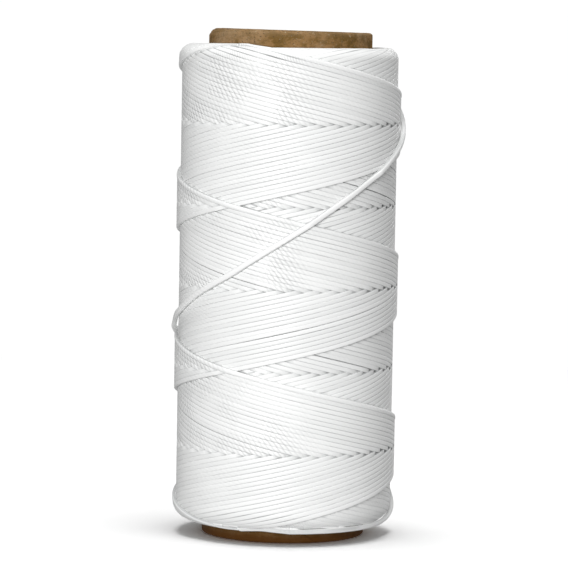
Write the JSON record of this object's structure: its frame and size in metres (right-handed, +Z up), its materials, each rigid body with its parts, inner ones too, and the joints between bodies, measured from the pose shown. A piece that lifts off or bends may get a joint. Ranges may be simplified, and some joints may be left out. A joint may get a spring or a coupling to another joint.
{
  "type": "waxed thread spool",
  "caption": "Cross-wound white waxed thread on a plain brown paper tube with no flanges, its loose end wound steeply up over the outside.",
  "frame": {"origin": "centre of the tube's bottom rim, on the axis of the bore", "axes": "+Z up along the tube's axis towards its upper rim, -Y towards the viewer, +X to the viewer's right"},
  "size_m": [0.0525, 0.0529, 0.116],
  "materials": {
    "tube_body": "matte",
    "tube_wrap": "matte",
    "thread": "waxed satin"
  },
  "bodies": {
    "root": {"core_liner_ply": "tube_body", "core_body_ply_1": "tube_body", "core_body_ply_2": "tube_body", "core_body_ply_3": "tube_body", "core_outer_ply": "tube_wrap", "thread_starting_end": "thread", "thread_inner_layers": "thread", "thread_outer_layers": "thread", "thread_last_rising_pass": "thread", "thread_last_falling_pass": "thread", "thread_running_end": "thread"}
  },
  "joints": []
}
